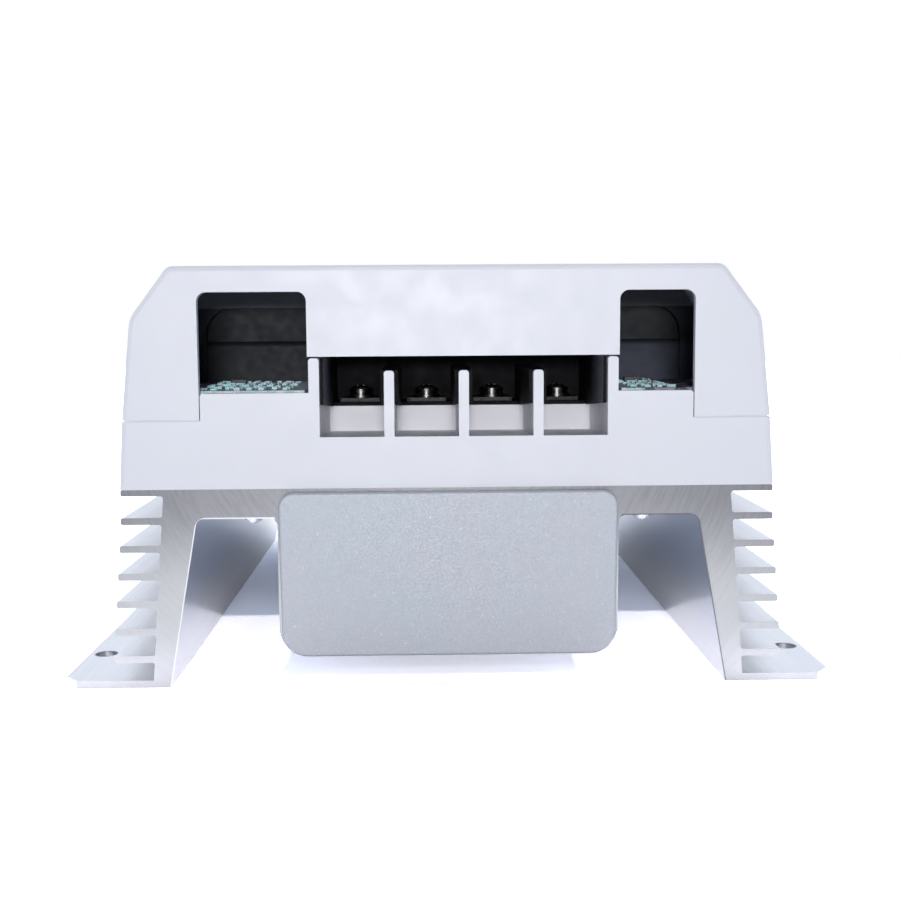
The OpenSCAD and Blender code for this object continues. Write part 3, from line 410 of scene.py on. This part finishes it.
def saw_marks(g):
    """Noise drawn out into arcs round the saw's centre."""
    across_x, across_z = g.minus(g.x, SAW_CENTRE[0]), g.minus(g.z, SAW_CENTRE[1])
    ring_place = g.add("ShaderNodeCombineXYZ")
    g.put(g.length(across_x, across_z), ring_place.inputs[0])
    g.put(g.times(g.math("ARCTAN2", across_z, across_x), SAW_ARC), ring_place.inputs[1])
    return g.noise(SAW_MARK, 5, 0.75, ring_place.outputs[0])


def outside_legs(g):
    """0 on the tunnels' side of a slanted line in the middle of each leg, and 1 outside it."""
    leg_line = g.plus(g.size_of(g.x), g.times(g.z, LEG_LEAN))
    return g.spread(leg_line, LEG_MIDDLE - LEG_SOFT, LEG_MIDDLE + LEG_SOFT)


def painted_hole_shade(g):
    """The share of a painted shade, dark, round the edge of each flange hole."""
    from_hole = g.length(g.minus(g.size_of(g.x), HOLE_X), g.minus(g.size_of(g.y), HOLE_Y))
    return g.fade(from_hole, HOLE_R + RIM_FULL, HOLE_R + RIM_GONE, RIM_SHARE)


def tunnel_painted_edge(g):
    """The share of a painted edge line round each tunnel's mouth, along the leg and the roof: a painted
    highlight on the left and a painted shade on the right.
    """
    side = g.plus(g.size_of(g.x), g.times(g.z, TUNNEL_LEAN))
    from_tunnel = g.length(g.past(side, TUNNEL_FOOT - TUNNEL_R), g.past(g.z, TUNNEL_ROOF - TUNNEL_R))
    line = g.fade(from_tunnel, TUNNEL_R + PAINTED_EDGE_FULL, TUNNEL_R + PAINTED_EDGE_GONE, PAINTED_EDGE_SHARE)
    clear = g.spread(g.size_of(g.x), CHAMBER_SIDE + PAINTED_EDGE_CLEAR, CHAMBER_SIDE + 2 * PAINTED_EDGE_CLEAR)
    return g.times(line, clear)


def side_tone(g, color, outside, lines):
    """Colour of the faces along the profile, with painted shade: cooler and darker higher up in the tunnels
    and more so further back, and dark round the flange holes.
    """
    # Painted shade: the tunnels' faces above their feet go cooler and darker, more so further back.
    shaded = g.times(g.spread(g.z, SHADE_LOW, SHADE_HIGH), g.minus(1.0, outside))
    tunnel_shade = g.mix(g.spread(g.y, SHADE_NEAR_Y, SHADE_FAR_Y), TUNNEL_SHADE, TUNNEL_SHADE_FAR)
    tone = g.mix(shaded, color, tunnel_shade)
    tone = g.mix(g.times(g.uneven(lines), LINE_SHARE), tone, shade(color, LINE_SHADE))
    # Painted shade round the flange holes.
    return g.mix(painted_hole_shade(g), tone, HOLE_SHADE_COLOR)


def end_tone(g, color, foot_light_color, marks, painted_edge):
    """Colour of the cut ends, with painted light that makes them brighter towards the feet. The painted edge
    line is a painted highlight on the left and a painted shade on the right.
    """
    # Painted light: the cut ends lighten towards the feet, standing in for light from the floor.
    foot_light = g.fade(g.z, FOOT_TOP, FOOT_GONE)
    dull = g.mix(foot_light, color, foot_light_color)
    bright = g.mix(foot_light, shade(color, CUT_BRIGHT), shade(foot_light_color, FOOT_BRIGHT))
    tone = g.mix(g.uneven(marks), dull, bright)
    grooves = g.mix(foot_light, shade(color, CUT_GROOVE), shade(foot_light_color, FOOT_GROOVE))
    tone = g.mix(g.times(g.spread(marks, *GROOVED), GROOVE_SHARE), tone, grooves)
    # Painted highlight on the left tunnel's edge, painted shade on the right one's.
    painted_edge_color = g.mix(g.spread(g.x, -PAINTED_EDGE_CHANGE, PAINTED_EDGE_CHANGE), EDGE_HIGHLIGHT_LEFT, EDGE_SHADE_RIGHT)
    return g.mix(painted_edge, tone, painted_edge_color)


def extruded_metal(name, color, cut_color, foot_light_color):
    """Extruded aluminium: faint lines along the profile, and saw marks in arcs on its cut ends."""
    g = Graph(name)
    marks = saw_marks(g)
    lines = g.noise(LINE, 3, 0.6, g.stretched(*LINE_SCALE))
    outside, painted_edge, cut = outside_legs(g), tunnel_painted_edge(g), g.end_on()
    tone = g.mix(cut, side_tone(g, color, outside, lines), end_tone(g, cut_color, foot_light_color, marks, painted_edge))
    rough = g.spread(cut, 0.0, 1.0, SIDE_ROUGH, END_ROUGH)
    metallic = g.mix_number(cut, g.mix_number(outside, TUNNEL_METAL, SIDE_METAL),
                            g.mix_number(painted_edge, END_METAL, PAINTED_EDGE_METAL))
    side_bump = g.bump(lines, LINE_DEPTH, g.minus(1.0, cut))
    bump = g.bump(marks, SAW_DEPTH, cut, side_bump)
    return g.surface(tone, rough, metallic, bump, Coat_Weight=COAT, Coat_Roughness=COAT_ROUGH)


# Circuit board

MASK_LEFT, MASK_RIGHT, MASK_SOFT = -76 * MM, 60 * MM, 1.5 * MM
AREA, AREA_SCALE = 3.2 * MM, (1, 0.5, 1)
PALE_AREAS, GREY_AREAS, GREY_SHARE, SIDE_SHADE_AREAS = (0.45, 0.55), (0.8, 0.84), 0.7, (0.6, 0.66)
MINT, PALE, GREY = (0.60, 0.92, 0.88), (0.86, 0.95, 1.0), (0.62, 0.72, 0.84)
SIDE_SHADE_DARK, SIDE_SHADE_GREY = (0.05, 0.05, 0.08), (0.34, 0.33, 0.42)
TRACK_CELL, TRACK_SCALE, TRACK_EDGE, TRACK_DEPTH = 2.4 * MM, (1, 0.6, 1), (0.02, 0.1), 0.03 * MM
TRACK_COLOR, TRACK_SHARE = (0.16, 0.32, 0.30), 0.3
BOARD_ROUGH = 0.35


def board_mask(name):
    """A pale green circuit board with tracks, pads and bare white areas, and painted shade near its two
    sides.
    """
    g = Graph(name)
    patch = g.axes(g.cells(AREA, source=g.stretched(*AREA_SCALE), output="Color"))[0]
    tracks = g.spread(g.cells(TRACK_CELL, "DISTANCE_TO_EDGE", g.stretched(*TRACK_SCALE)), *TRACK_EDGE)
    tone = g.mix(g.spread(patch, *PALE_AREAS), MINT, PALE)
    tone = g.mix(g.times(g.spread(patch, *GREY_AREAS), GREY_SHARE), tone, GREY)
    tone = g.mix(g.times(g.minus(1.0, tracks), TRACK_SHARE), tone, TRACK_COLOR)
    # Painted shade: the board goes dark grey near both sides, where shade falls.
    outer = g.larger(g.fade(g.x, MASK_LEFT, MASK_LEFT + MASK_SOFT),
                     g.spread(g.x, MASK_RIGHT - MASK_SOFT, MASK_RIGHT))
    dark = g.mix(g.spread(patch, *SIDE_SHADE_AREAS), SIDE_SHADE_DARK, SIDE_SHADE_GREY)
    return g.surface(g.mix(outer, tone, dark), BOARD_ROUGH, normal=g.bump(tracks, TRACK_DEPTH))


# Looks, by the record's material slots

LOOKS = {
    "extrusion": extruded_metal("extruded aluminium", (0.95, 0.955, 0.97),
                                cut_color=(0.165, 0.167, 0.182), foot_light_color=(0.385, 0.39, 0.405)),
    "end_plate": blasted_metal("bead-blasted aluminium", (0.485, 0.51, 0.56)),
    "housing": moulded("white housing", (0.845, 0.865, 0.93), 0.42, soil=0.02, painted_bay_light=(0.93, 0.94, 1.0)),
    "black_moulding": lined_black("black moulding", (0.006, 0.006, 0.008), (0.20, 0.195, 0.25)),
    "terminal_metal": plated("dark nickel", (0.018, 0.017, 0.018), 0.3),
    "dark_moulding": inner_sheet("dark inner wall", (0.011, 0.013, 0.020), (0.055, 0.063, 0.10)),
    "board": board_mask("circuit board"),
    "brass_post": plated("turned brass", (0.72, 0.52, 0.24), 0.3),
    "zinc_screw": plated("zinc plate", (0.78, 0.80, 0.86), 0.25),
    "core": dark_moulded("coated core", (0.05, 0.06, 0.06), 0.6, depth=0.03 * MM),
    "copper": wire_wound("copper wire", (0.60, 0.22, 0.09)),
    "rubber": dark_moulded("black rubber", (0.012, 0.012, 0.012), 0.7),
    "silicone": dark_moulded("silicone pad", (0.34, 0.46, 0.56), 0.6),
    "epoxy": dark_moulded("moulded epoxy", (0.012, 0.012, 0.013), 0.35),
    "capacitor_sleeve": dark_moulded("capacitor sleeve", (0.012, 0.016, 0.06), 0.3),
    "light_lens": moulded("clear lens", (0.82, 0.86, 0.84), 0.2, soil=0.02),
}
SCREW_NODES = ("terminal_screws", "spring_washers", "flat_washers")
SCREW_LOOK = plated("burnished nickel", (0.20, 0.195, 0.19), 0.24)


def dress(obj, look):
    obj.data.materials.clear()
    obj.data.materials.append(look)


def dress_frame():
    slot_of = {s["node"]: s["material_slot"] for s in frame["record"]["subparts"]}
    for name, obj in nodes.items():
        dress(obj, LOOKS[slot_of[name]])
    for name in SCREW_NODES:
        dress(nodes[name], SCREW_LOOK)


# Soft edges, as moulding and tumbling leave them

SOFT_EDGES = {"lower_frame": 0.35 * MM, "top_cover": 0.35 * MM, "heat_sink": 0.25 * MM}
FLAT, SHARP, BEVEL_STEPS = math.radians(1), math.radians(28), 2


def soften(name, width):
    obj = nodes[name]
    flat = obj.modifiers.new("flat faces", "DECIMATE")
    flat.decimate_type, flat.angle_limit = "DISSOLVE", FLAT
    soft = obj.modifiers.new("soft edges", "BEVEL")
    soft.width, soft.segments = width, BEVEL_STEPS
    soft.limit_method, soft.angle_limit = "ANGLE", SHARP
    soft.miter_outer = "MITER_ARC"
    obj.modifiers.new("even shading", "WEIGHTED_NORMAL").keep_sharp = True


# Small surface-mounted parts on the circuit board, behind both windows

CERAMIC, EPOXY, SOLDER = 0, 1, 2
PART_LOOKS = (dark_moulded("pale ceramic", (0.40, 0.72, 0.74), 0.4),
              dark_moulded("chip epoxy", (0.035, 0.05, 0.055), 0.4),
              moulded("solder ends", (0.60, 0.82, 0.92), 0.35))
PART_EDGE = 0.08 * MM

CHIP_L, CHIP_W, CHIP_H = 2.0 * MM, 1.25 * MM, 0.6 * MM
CHIP_CAP, CHIP_INSET, CHIP_BODY_H = 0.4 * MM, 0.03 * MM, 0.94

IC_HALF_L, IC_HALF_W, IC_LOW, IC_HIGH = 2.4 * MM, 1.9 * MM, 0.15 * MM, 1.5 * MM
IC_LEGS, IC_PITCH = 4, 1.27 * MM
IC_LEG_FROM, IC_LEG_TO, IC_LEG_HALF, IC_LEG_H = 1.7 * MM, 2.9 * MM, 0.2 * MM, 0.25 * MM

CELL_X, CELL_Y = 3.6 * MM, 4.2 * MM
EDGE_GAP, WALL_GAP, BAY_GAP = 2.5 * MM, 2 * MM, 8 * MM
CERAMIC_SHARE, FILLED_SHARE = 0.66, 0.72
LEAST_SCALE, MOST_SCALE = 0.9, 1.4
PARTS_RIGHT = 72 * MM


def link_mesh(name, mesh):
    data = bpy.data.meshes.new(name)
    mesh.to_mesh(data)
    mesh.free()
    obj = bpy.data.objects.new(name, data)
    scene.collection.objects.link(obj)
    return obj


def add_box(mesh, low, high, look):
    """A box with soft edges, from its lowest to its highest corner."""
    made = bmesh.ops.create_cube(mesh, size=1)["verts"]
    for v in made:
        v.co = Vector([a + (c + 0.5) * (b - a) for a, b, c in zip(low, high, v.co)])
    edges = list({e for v in made for e in v.link_edges})
    for f in {f for v in made for f in v.link_faces}:
        f.material_index = look
    bmesh.ops.bevel(mesh, geom=edges, offset=PART_EDGE, segments=BEVEL_STEPS, affect="EDGES", material=-1)


def add_chip(mesh, x, y, z, turned, look, scale):
    """A chip resistor or capacitor: a body between two tinned ends."""
    long, wide, high = (v * scale for v in (CHIP_L, CHIP_W, CHIP_H))
    end, cap = long / 2, long / 2 - CHIP_CAP
    for start, stop, half, top, its_look in ((-cap, cap, wide / 2 - CHIP_INSET, high * CHIP_BODY_H, look),
                                             (-end, -cap, wide / 2, high, SOLDER),
                                             (cap, end, wide / 2, high, SOLDER)):
        low, up = (start, -half), (stop, half)
        if turned:
            low, up = low[::-1], up[::-1]
        add_box(mesh, (x + low[0], y + low[1], z), (x + up[0], y + up[1], z + top), its_look)


def add_small_ic(mesh, x, y, z):
    """An eight-legged chip."""
    add_box(mesh, (x - IC_HALF_L, y - IC_HALF_W, z + IC_LOW),
            (x + IC_HALF_L, y + IC_HALF_W, z + IC_HIGH), EPOXY)
    for k in range(IC_LEGS):
        leg_x = x + (k - (IC_LEGS - 1) / 2) * IC_PITCH
        for start, stop in ((-IC_LEG_TO, -IC_LEG_FROM), (IC_LEG_FROM, IC_LEG_TO)):
            add_box(mesh, (leg_x - IC_LEG_HALF, y + start, z),
                    (leg_x + IC_LEG_HALF, y + stop, z + IC_LEG_H), SOLDER)


def make_board_parts(name, left, right, seed):
    """Chips on a grid of cells, some of them left empty, round one chip that takes two by two cells."""
    rng = random.Random(seed)
    near, far, top = BOARD_LOW[1] + EDGE_GAP, WALL_FRONT - WALL_GAP, BOARD_HIGH[2]
    columns, rows = int((right - left) / CELL_X), int((far - near) / CELL_Y)
    ic_column, ic_row = 1, rows - 3
    mesh = bmesh.new()
    add_small_ic(mesh, left + (ic_column + 1) * CELL_X, near + (ic_row + 1) * CELL_Y, top)
    for column in range(columns):
        for row in range(rows):
            turned, kind, scale = rng.random() < 0.5, rng.random(), rng.uniform(LEAST_SCALE, MOST_SCALE)
            under_ic = column - ic_column in (0, 1) and row - ic_row in (0, 1)
            if under_ic or kind > FILLED_SHARE:
                continue
            x, y = left + (column + 0.5) * CELL_X, near + (row + 0.5) * CELL_Y
            add_chip(mesh, x, y, top, turned, CERAMIC if kind < CERAMIC_SHARE else EPOXY, scale)
    piece = link_mesh(name, mesh)
    for look in PART_LOOKS:
        piece.data.materials.append(look)
    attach(piece, "root")


# Floor

FLOOR_HALF, FLOOR_GAP = 3.0, 0.05 * MM
GLOW_REACH = 0.05
SHINE_FAR_Y, SHINE_NEAR_Y, SHINE_FAR, SHINE_NEAR = -0.45, -0.17, 0.3, 0.9
PAPER = (0.90, 0.90, 0.92)
PAPER_SEEN, PAPER_SEEN_SHADOW, PAPER_SEEN_PLATE_SHADOW = (4.3, 4.15, 4.15), (1.8, 1.9, 2.1), (3.1, 3.15, 3.4)
SHADOW_LINE_Y, SHADOW_LINE_SOFT = -36 * MM, 2.5 * MM
MIRRORED_MOUTH, MIRRORED_DEEP, BESIDE_SOFT = 1.55, 0.2, 6 * MM
PLATE_SHADOW_X, PLATE_SHADOW_HALF, PLATE_SHADOW_Y, PLATE_SHADOW_SOFT = -6 * MM, 48 * MM, -116 * MM, 2 * MM


def paper_color(g, glow, looked_at, mirrored):
    """Plain paper to the light and brighter to the camera, with painted shadows further into the tunnels and
    under the plate's edge, and a painted reflection, brighter in reflections beside the chamber.
    """
    # Painted shadow: further back than this line, the paper is darker.
    deep = g.spread(g.y, SHADOW_LINE_Y - SHADOW_LINE_SOFT, SHADOW_LINE_Y + SHADOW_LINE_SOFT)
    # Painted reflection: reflections of the paper beside the chamber are brighter, most at the tunnels'
    # mouths.
    depth = g.mix_number(deep, MIRRORED_MOUTH, MIRRORED_DEEP)
    beside = g.spread(g.size_of(g.x), CHAMBER_SIDE - BESIDE_SOFT, CHAMBER_SIDE + BESIDE_SOFT)
    share = g.times(g.times(depth, beside), g.minus(1.0, glow))
    bright = g.larger(looked_at, g.times(mirrored, share))
    # Painted shadow under the front edge of the chamber's plate.
    under = g.times(g.spread(g.y, PLATE_SHADOW_Y - PLATE_SHADOW_SOFT, PLATE_SHADOW_Y + PLATE_SHADOW_SOFT),
                    g.fade(g.size_of(g.minus(g.x, PLATE_SHADOW_X)), PLATE_SHADOW_HALF - PLATE_SHADOW_SOFT, PLATE_SHADOW_HALF))
    seen = g.mix(deep, g.mix(under, PAPER_SEEN, PAPER_SEEN_PLATE_SHADOW), PAPER_SEEN_SHADOW)
    return g.mix(bright, PAPER, seen)


def floor_look():
    g = Graph("white floor")
    path = g.add("ShaderNodeLightPath")
    looked_at, mirrored = g.looked_at(path), path.outputs["Is Glossy Ray"]
    away = g.length(g.past(g.size_of(g.x), cad_high.x), g.past(g.size_of(g.y), cad_high.y))
    glow = g.spread(away, 0.0, GLOW_REACH)
    shine = g.spread(g.y, SHINE_FAR_Y, SHINE_NEAR_Y, SHINE_FAR, SHINE_NEAR)
    paper = g.add("ShaderNodeBsdfDiffuse")
    g.put(paper_color(g, glow, looked_at, mirrored), paper.inputs["Color"])
    light = g.add("ShaderNodeEmission")
    g.put(g.times(glow, g.larger(looked_at, g.times(mirrored, shine))), light.inputs["Strength"])
    both = g.add("ShaderNodeAddShader")
    g.put(paper.outputs[0], both.inputs[0])
    g.put(light.outputs[0], both.inputs[1])
    g.show(both, "ShaderNodeOutputMaterial")
    return g.material


def make_floor():
    """A white sweep: lit like paper beside and under the object, with painted shadows and a painted
    reflection there, and pure white further out.
    """
    mesh = bmesh.new()
    bmesh.ops.create_grid(mesh, x_segments=1, y_segments=1, size=FLOOR_HALF)
    floor = link_mesh("floor", mesh)
    floor.location.z = cad_low.z - FLOOR_GAP
    floor.data.materials.append(floor_look())


# World and lamps. The room's limits are parts of a direction, from -1 to 1.

ROOM_FRONT, ROOM_BACK, ROOM_SIDE, ROOM_TOP = 0.04, 0.88, 1.5, 1.1
ROOM_COLOR, WHITE = (0.90, 0.96, 1.08), (1, 1, 1)
SIDE_FROM, SIDE_FULL = 0.5, 0.95
TOP_FROM, TOP_FULL = 0.3, 0.8
FRONT_TO, LIT_FROM, FRONT_LEAN = -0.05, 0.35, 0.35
MIRRORED_FROM, MIRRORED_FULL = -0.6, 0.0


def make_world():
    """White to the camera. The object's light comes from pale walls and ceiling, dim on the camera's side."""
    world = bpy.data.worlds.new("studio")
    scene.world = world
    world.use_nodes = True
    g = Graph(tree=world.node_tree)
    x, y, z = g.axes(g.add("ShaderNodeTexCoord").outputs["Generated"])
    room = g.spread(g.size_of(x), SIDE_FROM, SIDE_FULL, ROOM_BACK, ROOM_SIDE)
    room = g.spread(z, TOP_FROM, TOP_FULL, room, ROOM_TOP)
    room = g.spread(g.math("MULTIPLY_ADD", z, FRONT_LEAN, y), FRONT_TO, LIT_FROM, ROOM_FRONT, room)
    path = g.add("ShaderNodeLightPath")
    looked_at = g.looked_at(path)
    shine = g.times(path.outputs["Is Glossy Ray"], g.spread(y, MIRRORED_FROM, MIRRORED_FULL))
    shell = g.add("ShaderNodeBackground")
    g.put(g.mix(looked_at, ROOM_COLOR, WHITE), shell.inputs["Color"])
    g.put(g.larger(g.mix_number(looked_at, room, 1.0), shine), shell.inputs["Strength"])
    g.show(shell, "ShaderNodeOutputWorld")


KEY_AT, KEY_WATTS, KEY_SIZE = (0.0, -1.15, 0.47), 1.2, (0.10, 0.10)
GLINT_AT, GLINT_WATTS, GLINT_SIZE = (-0.01, -1.15, 0.185), 4.05, (0.24, 0.07)
LAMP_AIM, LAMP_COLOR = (0.0, -0.1275, 0.07), (1.0, 0.99, 0.985)


def make_lamp(name, at, watts, size):
    data = bpy.data.lights.new(name, "AREA")
    data.shape, data.energy, data.color = "ELLIPSE", watts, LAMP_COLOR
    data.size, data.size_y = size
    lamp = bpy.data.objects.new(name, data)
    lamp.location = at
    lamp.rotation_mode = "QUATERNION"
    lamp.rotation_quaternion = (Vector(LAMP_AIM) - Vector(at)).to_track_quat("-Z", "Y")
    scene.collection.objects.link(lamp)


make_camera()
make_floor()
make_world()
make_lamp("key", KEY_AT, KEY_WATTS, KEY_SIZE)
make_lamp("glint", GLINT_AT, GLINT_WATTS, GLINT_SIZE)
scene.view_settings.view_transform = "Standard"

dress_frame()
for node_name, edge_width in SOFT_EDGES.items():
    soften(node_name, edge_width)

make_board_parts("board_parts_left", MASK_LEFT, BLOCK_LOW[0] - BAY_GAP, seed=3)
make_board_parts("board_parts_right", BLOCK_HIGH[0] + BAY_GAP, PARTS_RIGHT, seed=8)
